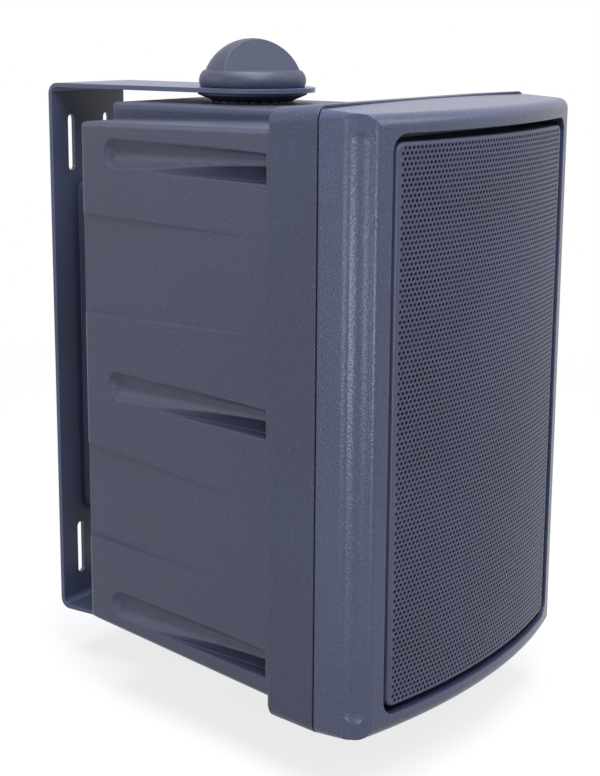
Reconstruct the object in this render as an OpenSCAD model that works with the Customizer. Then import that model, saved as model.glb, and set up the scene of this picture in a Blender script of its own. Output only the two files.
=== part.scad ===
// Two-way wall speaker on a swivelling U bracket.
// Millimetres. The wall face of the bracket is the plane y = 0, the grille looks
// towards -Y, +Z is up, and the origin is the centre of the bracket's wall face.

/* [Cabinet] */
// Height of the cabinet at the seam between bezel and rear shell
cabinet_h = 250; // [244:1:262]
// Width of the cabinet at the seam
cabinet_w = 170; // [166:1:180]
// Depth of the rear shell behind the seam
shell_depth = 141; // [136:1:150]
// Corner radius of the seam outline
seam_corner_r = 6; // [4:0.5:8]
// Open joint between bezel and rear shell
seam_gap = 0.8; // [0.6:0.1:1.2]
// Wall thickness of the pods and the block
shell_wall = 3.5; // [3:0.1:4]

/* [Collar] */
// Depth of the collar that the rear shell carries behind the seam
collar_depth = 23.5; // [20:0.5:26]
// How far the collar flares per side from its rear edge to the seam
collar_flare = 1.5; // [0.5:0.1:2.5]
// Wall thickness of the collar
collar_wall = 5; // [4.6:0.1:5.4]
// Chamfer on the collar's rear edge
collar_chamfer = 1.2; // [0.6:0.1:1.6]

/* [Pods] */
// Width over the two side pods where they leave the collar
pod_w_front = 164; // [162:0.5:164]
// Width over the two side pods at the back
pod_w_rear = 114; // [110:1:118]
// Height of the pods where they leave the collar
pod_h_front = 230.5; // [228:0.5:232]
// Height of the pods at the back
pod_h_rear = 225; // [223:0.5:228]
// Corner radius of the pods' back
pod_edge_r = 4; // [3:0.5:5]
// Planed edge along the pods' upper and lower corners
pod_chamfer = 1.8; // [1:0.1:2.4]

/* [Centre block] */
// Width of the raised block that carries the two pivots
block_w = 72; // [68:1:76]
// Height over the block
block_h = 240; // [238:0.5:241]
// Edge radius of the block
block_edge_r = 3; // [2:0.5:4]

/* [Flutes] */
// Distance between the flutes, centre to centre
flute_pitch = 100.5; // [98:0.5:101]
// Reach of a flute from the collar to its blunt end
flute_len = 103; // [96:1:104]
// Radius of the hollow at the blunt end
flute_r = 8.5; // [7:0.5:10]
// Depth of the hollow at the blunt end
flute_depth = 2.8; // [1.8:0.1:3.2]
// Radius of the hollow beside the collar
flute_throat_r = 2.8; // [2.2:0.1:3.4]
// Depth of the hollow beside the collar
flute_throat_depth = 3; // [2:0.1:4]
// Height that the hollow climbs towards the collar
flute_climb = 2.9; // [1:0.1:4]
// Radius of the deep groove under the hollow
groove_r = 7.3; // [6:0.1:8]
// Length of the deep groove
groove_len = 70; // [60:1:78]
// Height of the groove's sharp lower lip, from the flute's middle
groove_lip = -6.5; // [-8:0.1:-5]
// Plain side left between the flutes and the collar
flute_stop = 1.7; // [1:0.1:3]

/* [Sunk panels] */
// Lower edge of a sunk panel from mid height
panel_z0 = 29; // [26:1:32]
// Upper edge of a sunk panel from mid height
panel_z1 = 73; // [68:1:78]
// Depth of the panel at the back, fading to nothing forwards
panel_depth = 1.8; // [1:0.1:2]
// Slope of the panel's edge nearest mid height, as a rise over the pod's length
panel_rise = 5; // [0:1:6]

/* [Bezel] */
// Depth of the bezel at its side walls
bezel_side = 12.5; // [11:0.5:14]
// Depth of the bezel at the outer corner of the front
bezel_corner = 24; // [22:0.5:26]
// Half width of the front between its outer corners
bezel_corner_x = 80.5; // [79:0.5:82]
// Depth of the bowed front at mid width
bezel_bow = 34.5; // [33:0.5:38]
// Height lost per end from the seam to the front
bezel_draft = 2.4; // [1:0.1:3]
// Radius along the top and bottom front edges
bezel_edge_r = 5; // [4:0.5:6]
// Radius of the long shallow flute down each pillar
pillar_flute_r = 11; // [9:1:14]
// Depth of that flute
pillar_flute_depth = 0.9; // [0.4:0.1:1.2]
// Rounding of the ridge behind the pillar's flute
ridge_side_r = 8; // [4:0.5:10]
// Rounding of the ridge in front of it
ridge_front_r = 3; // [2:0.5:4]
// Front face of the baffle in front of the seam
baffle_front = 13; // [12:0.5:14]
// Thickness of the baffle
baffle_t = 4; // [3.5:0.5:5]

/* [Grille] */
// Width of the opening in the bezel
opening_w = 146; // [144:1:148]
// Height of the opening
opening_h = 230; // [228:1:232]
// Corner radius of the opening
opening_r = 7; // [5:0.5:9]
// Clear channel between the opening and the grille
grille_gap = 3.2; // [2.5:0.1:3.6]
// Thickness of the perforated sheet
grille_t = 1; // [0.8:0.1:1.4]
// How far the grille's face lies behind the bezel's front
grille_inset = 0.8; // [0.4:0.1:1.6]
// Columns of openings in the sheet
grille_columns = 9; // [7:2:9]
// Rows of openings in the longer columns
grille_rows = 13; // [9:1:13]
// Size of one hexagonal opening across its corners
grille_hole = 13; // [9:0.5:14]

/* [Woofer] */
// Outer diameter of the basket's flange
woofer_d = 133; // [130:1:134]
// Height of the woofer's axis from mid height
woofer_z = -43; // [-45:1:-41]
// Diameter of the cut-out in the baffle
woofer_cut_d = 117; // [116:1:118]
// Diameter of the ferrite magnet
woofer_magnet_d = 84; // [70:1:90]
// Voice coil diameter
coil_d = 27; // [25:0.5:30]
// Largest travel of the cone either way
cone_travel = 2.5; // [1:0.5:2.5]

/* [Tweeter] */
// Outer diameter of the tweeter's face
tweeter_d = 78; // [72:1:82]
// Height of the tweeter's axis from mid height
tweeter_z = 68; // [67:1:70]
// Diameter of the dome
dome_d = 25.4; // [20:0.1:28]

/* [Terminals] */
// Outer size of the square terminal plate
cup_size = 60; // [58:1:62]
// Height of the terminal plate's middle from mid height
cup_z = -45; // [-50:1:-40]
// Depth of the terminal recess
cup_depth = 16; // [14:1:20]
// Largest press angle of a terminal lever
lever_angle = 14; // [8:1:14]

/* [Bracket] */
// Width of the bent steel strip
strip_w = 51; // [48:1:54]
// Thickness of the strip
strip_t = 2; // [1.5:0.1:2.5]
// Outer bend radius
bend_r = 5; // [4:0.5:7]
// Clear gap from the cabinet's back to the wall
stand_off = 46; // [44:1:60]
// Distance of the pivot axis in front of the cabinet's back
pivot_inset = 51; // [48:1:56]
// Gap between the block and the inside of an arm
arm_gap = 4.8; // [4.4:0.1:5.4]
// Length of each wall slot
slot_l = 26; // [20:1:30]
// Width of each wall slot
slot_w = 4.6; // [4:0.1:5.5]
// Distance between the slots' middles across the strip
slot_dx = 25; // [23:1:28]
// Distance between the slots' middles up the strip
slot_dz = 198; // [180:2:200]
// Width of the pressed stiffening rib
rib_w = 17; // [14:1:18]
// Height of the pressed rib
rib_h = 2; // [1:0.1:2.4]
// Length of the pressed rib
rib_l = 166; // [120:2:170]
// Radius of the pivot washer where it meets the arm
washer_r = 24; // [23:0.5:24.5]
// Radius of the pivot washer at its foot
washer_foot_r = 18.5; // [17:0.5:19]
// Depth of the hollow in the washer's top
washer_hollow = 2; // [1:0.1:2.2]

/* [Knobs] */
// Largest diameter of the knob's skirt
knob_d = 47; // [44:1:49]
// Height of the skirt
knob_skirt = 7; // [6:0.5:9]
// Height of the whole knob above the arm
knob_h = 20.8; // [18:0.2:24]
// Thickness of the grip at its foot
grip_t = 19; // [14:1:22]
// Thickness of the grip at its top
grip_top_t = 7; // [4:0.5:12]
// Turn of the grips at rest
grip_angle = -28; // [-90:1:90]
// Diameter of the threaded stud
stud_d = 6; // [5:0.5:8]
// Height of the stud above the arm
stud_top = 11; // [9:0.5:12]

/* [Output] */
// Piece to draw, or all

/* [Hidden] */
$fn = 64;
eps = 0.01;
fit_clear = 0.05;
seat_clear = 0.15;
swing_clear = 0.4;

half_w = cabinet_w / 2;
half_h = cabinet_h / 2;
back_y = -stand_off;
seam_y = back_y - shell_depth;
pivot_y = back_y - pivot_inset;
arm_z_in = block_h / 2 + arm_gap;
arm_z_out = arm_z_in + strip_t;
pivot_s = shell_depth - pivot_inset;

// the bowed front is part of a large upright cylinder
bow_rise = bezel_bow - bezel_corner;
bow_r = (pow(bezel_corner_x, 2) + pow(bow_rise, 2)) / (2 * bow_rise);
bow_axis = bow_r - bezel_bow;

insert_sink = 0.1;
flute_mid = -0.4;
pad_in_r = 9;
pad_out_r = 18;
pad_t = 2.4;
pad_sink = 1.4;
pad_top = block_h / 2 + pad_t - pad_sink;
washer_foot_z = pad_top + 0.3;
insert_r = 5;
insert_l = 14;
stud_r = stud_d / 2;

screw_r = 1.7;
screw_head_r = 3.4;
boss_r = 5;
boss_x = 64.5;
boss_rows = [-105.5, 22, 105.5];

baffle_y = -baffle_front;

// placing and plain sections

module on_seam() {
    translate([0, seam_y, 0])
        children();
}

module both_sides() {
    children();
    mirror([1, 0, 0])
        children();
}

module both_ends() {
    children();
    mirror([0, 0, 1])
        children();
}

// a disc or tube lying along Y, from y0 to y1
module disc_y(r, y0, y1) {
    translate([0, y1, 0])
        rotate([90, 0, 0])
            cylinder(r = r, h = y1 - y0);
}

// turns a radius/depth section about the Y axis, depth counted towards +Y
module turned_y() {
    rotate([-90, 0, 0])
        rotate_extrude()
            children();
}

// rounded rectangle made of squares and circles
module round_rect(w, h, r) {
    square([w - 2 * r, h], center = true);
    square([w, h - 2 * r], center = true);
    for (x = [-1, 1], z = [-1, 1])
        translate([x * (w / 2 - r), z * (h / 2 - r)])
            circle(r = r);
}

// rounded rectangle standing across Y, from y0 to y1
module slab_y(w, h, r, y0, y1) {
    translate([0, y1, 0])
        rotate([90, 0, 0])
            linear_extrude(y1 - y0)
                round_rect(w, h, r);
}

// a thin-walled tube along Y
module tube_y(r_out, r_in, y0, y1) {
    difference() {
        disc_y(r_out, y0, y1);
        disc_y(r_in, y0 - 1, y1 + 1);
    }
}

// pan-head screw along Y, the head at y = 0 and the shank towards +Y
module pan_screw(r, head_r, length) {
    head_h = head_r * 0.6;
    difference() {
        union() {
            disc_y(head_r, -head_h, 0);
            disc_y(r, -eps, length);
        }
        for (a = [0, 90])
            rotate([0, a, 0])
                translate([0, -head_h, 0])
                    cube([head_r * 1.1, head_h * 0.9, head_r * 0.28], center = true);
    }
}

// bracket

module arm_plan() {
    arm_end = -pivot_y + 2.5;
    translate([-strip_w / 2, -arm_end])
        square([strip_w, arm_end]);
    translate([0, -arm_end])
        circle(r = strip_w / 2);
}

module strip_side(inset) {
    r = bend_r - inset;
    reach = -pivot_y + strip_w;
    h = 2 * (arm_z_out - inset);
    translate([-inset, 0]) {
        translate([-reach, -h / 2])
            square([reach - r, h]);
        translate([-r - 1, r - h / 2])
            square([r + 1, h - 2 * r]);
        for (z = [-1, 1])
            translate([-r, z * (h / 2 - r)])
                circle(r = r);
    }
}

module wall_slots() {
    for (x = [-1, 1], z = [-1, 1])
        translate([x * slot_dx / 2, 0, z * slot_dz / 2])
            slab_y(slot_w, slot_l, slot_w / 2 - eps, -strip_t - 1, 1);
}

module u_bracket() {
    color([0.16, 0.16, 0.19])
        difference() {
            union() {
                difference() {
                    intersection() {
                        translate([0, 0, -arm_z_out - 1])
                            linear_extrude(2 * arm_z_out + 2)
                                arm_plan();
                        rotate([90, 0, 90])
                            linear_extrude(strip_w, center = true)
                                difference() {
                                    strip_side(0);
                                    strip_side(strip_t);
                                }
                    }
                    translate([0, pivot_y, -arm_z_out - 1])
                        cylinder(r = stud_r + swing_clear, h = 2 * arm_z_out + 2);
                }
                slab_y(rib_w, rib_l, rib_w / 2 - eps, -strip_t - rib_h, -strip_t + eps);
            }
            slab_y(rib_w - 2 * strip_t, rib_l - 2 * strip_t, rib_w / 2 - strip_t - eps, -rib_h, 1);
            wall_slots();
        }
}

// knobs: built for the upper arm, mirrored for the lower one

hub_r = 12;
nut_r = 5.5;
nut_l = stud_top - 2;

module at_upper_pivot() {
    translate([0, pivot_y, arm_z_out + seat_clear])
        children();
}

module skirt_section() {
    belly_r = 5.6;
    intersection() {
        square([knob_d / 2, knob_skirt]);
        union() {
            translate([knob_d / 2 - belly_r, knob_skirt * 0.38])
                circle(r = belly_r);
            square([knob_d / 2 - belly_r, knob_skirt]);
        }
    }
}

module knob_body() {
    dome_foot = knob_d / 2 - 2.8;
    dome_h = knob_h - knob_skirt;
    dome_r = (pow(dome_foot, 2) + pow(dome_h, 2)) / (2 * dome_h);
    core_in = hub_r + 1.5;
    core_out = knob_d / 2 - 3.4;
    difference() {
        union() {
            rotate_extrude()
                skirt_section();
            rotate([0, 0, grip_angle])
                intersection() {
                    translate([0, 0, knob_h - dome_r])
                        sphere(r = dome_r, $fn = 96);
                    rotate([90, 0, 90])
                        linear_extrude(knob_d, center = true)
                            polygon([
                                [-grip_t / 2, knob_skirt - eps],
                                [grip_t / 2, knob_skirt - eps],
                                [grip_top_t / 2, knob_h + 1],
                                [-grip_top_t / 2, knob_h + 1]
                            ]);
                }
            cylinder(r = hub_r, h = knob_skirt);
        }
        difference() {
            translate([0, 0, -1])
                cylinder(r = core_out, h = knob_skirt - 1);
            translate([0, 0, -1])
                cylinder(r = core_in, h = knob_skirt);
        }
        translate([0, 0, -1])
            cylinder(r = stud_r + swing_clear, h = stud_top + 2);
        translate([0, 0, -1])
            cylinder(r = nut_r + fit_clear, h = nut_l + 1 + 2 * fit_clear);
    }
}

module nut_body() {
    difference() {
        translate([0, 0, fit_clear])
            cylinder(r = nut_r, h = nut_l);
        translate([0, 0, -1])
            cylinder(r = stud_r + fit_clear, h = nut_l + 2);
    }
}

module stud_body() {
    foot = arm_z_out + seat_clear - (block_h / 2 - insert_sink - insert_l);
    translate([0, 0, -foot])
        cylinder(r = stud_r, h = foot + stud_top);
}

module washer_body() {
    bore_r = stud_r + swing_clear;
    seat_t = 1.2;
    difference() {
        rotate_extrude()
            polygon([
                [bore_r, washer_foot_z],
                [washer_foot_r, washer_foot_z],
                [washer_r, arm_z_in - seat_t],
                [washer_r, arm_z_in - fit_clear],
                [bore_r, arm_z_in - fit_clear]
            ]);
        translate([0, 0, arm_z_in - washer_hollow])
            difference() {
                cylinder(r = washer_foot_r - 2, h = washer_hollow);
                translate([0, 0, -1])
                    cylinder(r = bore_r + 4, h = washer_hollow + 2);
            }
    }
}

module upper_knob() {
    color([0.2, 0.21, 0.26])
        at_upper_pivot()
            knob_body();
}

module lower_knob() {
    color([0.2, 0.21, 0.26])
        mirror([0, 0, 1])
            at_upper_pivot()
                knob_body();
}

module upper_nut() {
    color([0.8, 0.65, 0.3])
        at_upper_pivot()
            nut_body();
}

module lower_nut() {
    color([0.8, 0.65, 0.3])
        mirror([0, 0, 1])
            at_upper_pivot()
                nut_body();
}

module upper_stud() {
    color([0.7, 0.7, 0.72])
        at_upper_pivot()
            stud_body();
}

module lower_stud() {
    color([0.7, 0.7, 0.72])
        mirror([0, 0, 1])
            at_upper_pivot()
                stud_body();
}

module upper_washer() {
    color([0.2, 0.21, 0.26])
        translate([0, pivot_y, 0])
            washer_body();
}

module lower_washer() {
    color([0.2, 0.21, 0.26])
        mirror([0, 0, 1])
            translate([0, pivot_y, 0])
                washer_body();
}

// pivot seats in the cabinet

module pad_body() {
    teeth = 24;
    tooth_h = 0.6;
    difference() {
        translate([0, 0, pad_top - pad_t])
            cylinder(r = pad_out_r - fit_clear, h = pad_t);
        translate([0, 0, pad_top - pad_t - 1])
            cylinder(r = pad_in_r + fit_clear, h = pad_t + 2);
        for (i = [0 : teeth - 1])
            rotate([0, 0, i * 360 / teeth])
                translate([pad_in_r + 1.5, -0.6, pad_top - tooth_h])
                    cube([pad_out_r, 1.2, tooth_h + 1]);
    }
}

module insert_body() {
    top = block_h / 2 - insert_sink;
    collar_t = 1;
    difference() {
        union() {
            translate([0, 0, top - insert_l])
                cylinder(r = insert_r, h = insert_l);
            translate([0, 0, top - collar_t])
                cylinder(r = insert_r + 1.8, h = collar_t);
        }
        translate([0, 0, top - insert_l - 1])
            cylinder(r = stud_r + fit_clear, h = insert_l + 2);
    }
}

module insert_seat() {
    top = block_h / 2 - insert_sink;
    translate([0, 0, top - insert_l - fit_clear])
        cylinder(r = insert_r + fit_clear, h = insert_l + 2);
    translate([0, 0, top - 1 - fit_clear])
        cylinder(r = insert_r + 1.8 + fit_clear, h = 3);
}

module pad_seat() {
    difference() {
        translate([0, 0, block_h / 2 - pad_sink - fit_clear])
            cylinder(r = pad_out_r, h = pad_t + 1);
        translate([0, 0, block_h / 2 - pad_sink - 1])
            cylinder(r = pad_in_r, h = pad_t + 3);
    }
}

module upper_insert() {
    color([0.8, 0.65, 0.3])
        translate([0, pivot_y, 0])
            insert_body();
}

module lower_insert() {
    color([0.8, 0.65, 0.3])
        mirror([0, 0, 1])
            translate([0, pivot_y, 0])
                insert_body();
}

module upper_pad() {
    color([0.08, 0.08, 0.09])
        translate([0, pivot_y, 0])
            pad_body();
}

module lower_pad() {
    color([0.08, 0.08, 0.09])
        mirror([0, 0, 1])
            translate([0, pivot_y, 0])
                pad_body();
}

// rear shell; depth is counted from the seam towards the wall

function pod_x(y) = pod_w_front / 2 - (pod_w_front - pod_w_rear) / 2 * (y - collar_depth) / (shell_depth - collar_depth);
function pod_z(y) = pod_h_front / 2 - (pod_h_front - pod_h_rear) / 2 * (y - collar_depth) / (shell_depth - collar_depth);

pod_lap = 3;
pod_len = shell_depth - collar_depth;
pod_side = sqrt(pow(pod_len, 2) + pow((pod_w_front - pod_w_rear) / 2, 2));
pod_slant = atan((pod_w_front - pod_w_rear) / 2 / pod_len);

// flat outline that narrows from half width a0 at y0 to a1 at y1, with its far corners rounded
module narrowing(a0, a1, y0, y1, r) {
    slant = atan((a0 - a1) / (y1 - y0));
    yc = y1 - r;
    xc = a1 + r * tan(slant) - r / cos(slant);
    xt = xc + r * cos(slant);
    yt = yc + r * sin(slant);
    polygon([[-a0, y0], [a0, y0], [xt, yt], [xc, y1], [-xc, y1], [-xt, yt]]);
    for (x = [-1, 1])
        translate([x * xc, yc])
            circle(r = r);
}

module pod_block(wall, r, y0, y1) {
    intersection() {
        translate([0, 0, -half_h])
            linear_extrude(cabinet_h)
                narrowing(pod_x(y0) - wall, pod_x(y1) - wall, y0, y1, r);
        rotate([0, -90, 0])
            linear_extrude(cabinet_w, center = true)
                narrowing(pod_z(y0) - wall, pod_z(y1) - wall, y0, y1, r);
    }
}

// planed edge along the top and bottom outer corners of the pods
module pod_chamfers() {
    drop = atan((pod_h_front - pod_h_rear) / 2 / pod_side);
    both_sides()
        both_ends()
            on_pod_side()
                translate([0, 0, pod_h_front / 2])
                    rotate([-drop, 0, 0])
                        rotate([0, 45, 0])
                            translate([-10, -2, -pod_chamfer / sqrt(2)])
                                cube([20, pod_side + 8, 10]);
}

module centre_block() {
    r = block_edge_r;
    y0 = collar_depth / 2;
    intersection() {
        slab_y(block_w, block_h, r, y0, shell_depth);
        translate([0, 0, -half_h])
            linear_extrude(cabinet_h)
                narrowing(block_w / 2, block_w / 2, y0, shell_depth, r);
        rotate([0, -90, 0])
            linear_extrude(cabinet_w, center = true)
                narrowing(block_h / 2, block_h / 2, y0, shell_depth, r);
    }
}

// the space over the block's ends, which stays free for the pivots
module above_block() {
    both_ends()
        translate([-block_w / 2, 0, block_h / 2])
            cube([block_w, shell_depth + 1, cabinet_h]);
}

module collar_outer() {
    step = 0.6;
    hull() {
        slab_y(cabinet_w, cabinet_h, seam_corner_r, 0, step);
        slab_y(cabinet_w - 2 * collar_flare, cabinet_h - 2 * collar_flare, seam_corner_r,
            collar_depth - collar_chamfer - step, collar_depth - collar_chamfer);
        slab_y(cabinet_w - 2 * collar_flare - 2 * collar_chamfer,
            cabinet_h - 2 * collar_flare - 2 * collar_chamfer, seam_corner_r - collar_chamfer,
            collar_depth - step, collar_depth);
    }
}

// puts its children on the side of the right-hand pod: x out of the side,
// y along it from the collar to the back, z up
module on_pod_side() {
    translate([pod_w_front / 2, collar_depth, 0])
        rotate([0, 0, pod_slant])
            children();
}

// upper hollow of a flute: a cone that widens towards its blunt end
module hollow(grow) {
    end_x = flute_r - flute_depth;
    throat_x = flute_throat_r - flute_throat_depth;
    end_y = flute_len - sqrt(pow(flute_r, 2) - pow(end_x, 2));
    lean = atan((end_x - throat_x) / end_y);
    fall = atan(flute_climb / end_y);
    run = sqrt(pow(end_y, 2) + pow(end_x - throat_x, 2) + pow(flute_climb, 2));
    translate([throat_x, 0, flute_climb + flute_mid])
        rotate([-fall, 0, -lean]) {
            rotate([-90, 0, 0])
                cylinder(r1 = flute_throat_r + grow, r2 = flute_r + grow, h = run);
            translate([0, run, 0])
                sphere(r = flute_r + grow);
        }
}

// deep groove under the hollow, with a level lower lip
module groove(grow) {
    lean = atan(groove_r / groove_len);
    intersection() {
        translate([0, 0, groove_lip])
            rotate([0, 0, -lean])
                disc_y(groove_r + grow, -5, groove_len + 10);
        translate([-30, -10, groove_lip - grow])
            cube([60, groove_len + 30, 30]);
    }
}

module scoops(grow) {
    end_cut = grow > 0 ? 0 : flute_stop;
    intersection() {
        union() {
            hollow(grow);
            groove(grow);
        }
        translate([-30, end_cut, -20])
            cube([60, pod_side + 10, 40]);
    }
}

module flutes(grow) {
    both_sides()
        on_pod_side()
            for (i = [-1, 0, 1])
                translate([0, 0, i * flute_pitch])
                    scoops(grow);
}

module panel_cut() {
    run = pod_side + 6;
    tilt = atan(panel_depth / pod_side);
    edge_tilt = atan(panel_rise / pod_side);
    intersection() {
        translate([0, 12, 0])
            rotate([0, 0, tilt])
                translate([0, 0, panel_z0])
                    rotate([-edge_tilt, 0, 0])
                        translate([0, 0, panel_rise])
                            cube([10, run, 80]);
        translate([-10, 0, panel_z0])
            cube([20, run + 10, panel_z1 - panel_z0]);
    }
}

module sunk_panels() {
    both_sides()
        both_ends()
            on_pod_side()
                panel_cut();
}

module screw_boss_solids() {
    boss_l = 52;
    for (x = [-1, 1], z = boss_rows)
        translate([x * boss_x, 0, z]) {
            disc_y(boss_r, 0.4, boss_l);
            translate([x > 0 ? 0 : -18, 0.4, -1.3])
                cube([18, boss_l, 2.6]);
        }
}

board_w = 76;
board_h = 46;
board_z = 42;
board_t = 1.6;
board_post = 6;
board_post_r = 3.5;

module board_corners() {
    for (x = [-1, 1], z = [-1, 1])
        translate([x * (board_w / 2 - 4), 0, board_z + z * (board_h / 2 - 4)])
            children();
}

module shell_cavity() {
    inner_back = shell_depth - shell_wall;
    slab_y(cabinet_w - 2 * collar_wall, cabinet_h - 2 * collar_wall, 3, -1, collar_depth - collar_wall);
    pod_block(shell_wall, 1.5, collar_depth - collar_wall - 8, inner_back);
    slab_y(block_w - 2 * shell_wall, block_h - 2 * shell_wall, 1.5, 5, inner_back);
}

module shell_inner_solids() {
    flutes(2.6);
    screw_boss_solids();
    both_ends()
        translate([0, pivot_s, block_h / 2 - insert_l - 5])
            cylinder(r = pad_out_r + 2, h = insert_l + 5);
    board_corners()
        disc_y(board_post_r, shell_depth - shell_wall - board_post, shell_depth);
    translate([0, 0, cup_z])
        slab_y(cup_size + 2, cup_size + 2, 3, shell_depth - shell_wall - 1.5, shell_depth - 1);
}

cup_tub = 46;
cup_plate_t = 2.5;
cup_sink = 1.2;
cup_screw = 26.3;

module cup_corners() {
    for (x = [-1, 1], z = [-1, 1])
        translate([x * cup_screw, 0, cup_z + z * cup_screw])
            children();
}

gasket_w = 2.4;
gasket_depth = 1.5;
gasket_line_w = cabinet_w - collar_wall;
gasket_line_h = cabinet_h - collar_wall;

module gasket_ring(width, y0, y1) {
    r = seam_corner_r - collar_wall / 2 + width / 2;
    difference() {
        slab_y(gasket_line_w + width, gasket_line_h + width, r, y0, y1);
        slab_y(gasket_line_w - width, gasket_line_h - width, r - width, y0 - 1, y1 + 1);
    }
}

module rear_shell() {
    color([0.31, 0.33, 0.4])
        on_seam()
            difference() {
                union() {
                    collar_outer();
                    difference() {
                        pod_block(0, pod_edge_r, collar_depth - pod_lap, shell_depth);
                        pod_chamfers();
                        above_block();
                    }
                    centre_block();
                }
                difference() {
                    shell_cavity();
                    shell_inner_solids();
                }
                flutes(0);
                sunk_panels();
                gasket_ring(gasket_w, -1, gasket_depth);
                for (x = [-1, 1], z = boss_rows)
                    translate([x * boss_x, 0, z])
                        disc_y(screw_r + fit_clear, -1, 16);
                both_ends()
                    translate([0, pivot_s, 0]) {
                        insert_seat();
                        pad_seat();
                    }
                translate([0, 0, cup_z]) {
                    slab_y(cup_tub + 0.6, cup_tub + 0.6, 2, shell_depth - 12, shell_depth + 1);
                    slab_y(cup_size + 0.4, cup_size + 0.4, 3, shell_depth - cup_sink, shell_depth + 1);
                }
                cup_corners()
                    disc_y(1.3, shell_depth - shell_wall - 3, shell_depth + 1);
                board_corners()
                    disc_y(1.3, shell_depth - shell_wall - board_post - 1, shell_depth - 2);
            }
}

module seam_gasket() {
    color([0.05, 0.05, 0.05])
        on_seam()
            gasket_ring(gasket_w - 2 * fit_clear, -seam_gap + fit_clear, gasket_depth - fit_clear);
}

// front bezel with the baffle moulded in

module bow_section() {
    zf = half_h - bezel_draft;
    r = bezel_edge_r;
    back = bow_r - bezel_bow - 20;
    slope = bezel_draft / bezel_bow;
    z_back = zf + slope * (bow_r - r - back);
    polygon([
        [back, -z_back],
        [bow_r - r, -zf],
        [bow_r, -zf + r],
        [bow_r, zf - r],
        [bow_r - r, zf],
        [back, z_back]
    ]);
    for (z = [-1, 1])
        translate([bow_r - r, z * (zf - r)])
            circle(r = r);
}

module bow_solid() {
    translate([0, bow_axis, 0])
        rotate_extrude($fn = 360)
            bow_section();
}

function unit(v) = v / norm(v);

// the side of the bezel in plan: from the seam, round the side ridge, to the front ridge
seam_end = [half_w, -seam_gap];
ridge_side = [half_w - 0.4, -bezel_side];
ridge_front = [bezel_corner_x, -bezel_corner];
side_run = unit(ridge_side - seam_end);
pillar_run = unit(ridge_front - ridge_side);
side_in = [side_run[1], -side_run[0]];
pillar_in = [pillar_run[1], -pillar_run[0]];
side_turn = acos(side_run * pillar_run);
side_tangent = ridge_side_r * tan(side_turn / 2);
side_start = ridge_side - side_run * side_tangent;
side_stop = ridge_side + pillar_run * side_tangent;

module half_plan() {
    front = bezel_bow + 20;
    polygon([
        [0, -seam_gap],
        seam_end,
        side_start,
        side_stop,
        ridge_front,
        [bezel_corner_x - 1, -front],
        [0, -front]
    ]);
    translate(side_start + side_in * ridge_side_r)
        circle(r = ridge_side_r);
}

module bezel_plan() {
    half_plan();
    mirror([1, 0])
        half_plan();
}

// what comes off the corner between the pillar and the bowed front
module front_ridge_cut() {
    bow_mid = [0, bow_axis];
    q = ridge_front + pillar_in * ridge_front_r - bow_mid;
    qd = q * pillar_run;
    back = -qd - sqrt(pow(qd, 2) - q * q + pow(bow_r - ridge_front_r, 2));
    ahead = -qd + sqrt(pow(qd, 2) - q * q + pow(bow_r - ridge_front_r, 2));
    step = abs(back) < abs(ahead) ? back : ahead;
    mid = q + bow_mid + pillar_run * step;
    way = unit(mid - bow_mid);
    on_pillar = mid - pillar_in * ridge_front_r;
    on_front = bow_mid + way * bow_r;
    difference() {
        polygon([
            on_pillar,
            on_pillar - pillar_in,
            ridge_front - pillar_in + way,
            on_front + way,
            on_front
        ]);
        translate(mid)
            circle(r = ridge_front_r);
    }
}

module pillar_flutes() {
    dx = half_w - 0.4 - bezel_corner_x;
    dy = bezel_corner - bezel_side;
    lean = atan(dx / dy);
    reach = pillar_flute_r - pillar_flute_depth;
    end_z = half_h - 9 - sqrt(pow(pillar_flute_r, 2) - pow(reach, 2));
    both_sides()
        translate([half_w - 0.4 - dx / 2, -bezel_side - dy / 2, 0])
            rotate([0, 0, -lean])
                translate([reach, 0, 0]) {
                    translate([0, 0, -end_z])
                        cylinder(r = pillar_flute_r, h = 2 * end_z);
                    both_ends()
                        translate([0, 0, end_z])
                            sphere(r = pillar_flute_r);
                }
}

module woofer_axis() {
    translate([0, 0, woofer_z])
        children();
}

module tweeter_axis() {
    translate([0, 0, tweeter_z])
        children();
}

module boss_points() {
    for (x = [-1, 1], z = boss_rows)
        translate([x * boss_x, 0, z])
            children();
}

woofer_screw_ring = woofer_d / 2 - 4.5;
tweeter_screw_ring = tweeter_d / 2 - 4.5;
tweeter_cut_r = 31;

module front_bezel() {
    back_y0 = baffle_y + baffle_t;
    color([0.36, 0.38, 0.46])
        on_seam()
            difference() {
                union() {
                    difference() {
                        intersection() {
                            bow_solid();
                            slab_y(cabinet_w, cabinet_h, seam_corner_r, -bezel_bow - 10, -seam_gap);
                            translate([0, 0, -half_h - 5])
                                linear_extrude(cabinet_h + 10)
                                    bezel_plan();
                        }
                        slab_y(opening_w, opening_h, opening_r, -bezel_bow - 20, baffle_y);
                        slab_y(cabinet_w - 2 * collar_wall, cabinet_h - 2 * collar_wall, 3, back_y0, 1);
                        pillar_flutes();
                        both_sides()
                            translate([0, 0, -half_h - 5])
                                linear_extrude(cabinet_h + 10)
                                    front_ridge_cut();
                    }
                    boss_points()
                        disc_y(boss_r, back_y0 - eps, -0.2);
                }
                woofer_axis()
                    disc_y(woofer_cut_d / 2, baffle_y - 1, back_y0 + 1);
                tweeter_axis()
                    disc_y(tweeter_cut_r, baffle_y - 1, back_y0 + 1);
                boss_points()
                    disc_y(screw_r + fit_clear, baffle_y - 1, 1);
                woofer_axis()
                    ring_of_four(woofer_screw_ring)
                        disc_y(screw_r + fit_clear, baffle_y - 1, back_y0 + 1);
                tweeter_axis()
                    ring_of_four(tweeter_screw_ring)
                        disc_y(1.35, baffle_y - 1, back_y0 + 1);
            }
}

module ring_of_four(r) {
    for (a = [45 : 90 : 315])
        rotate([0, a, 0])
            translate([r, 0, 0])
                children();
}

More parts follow.
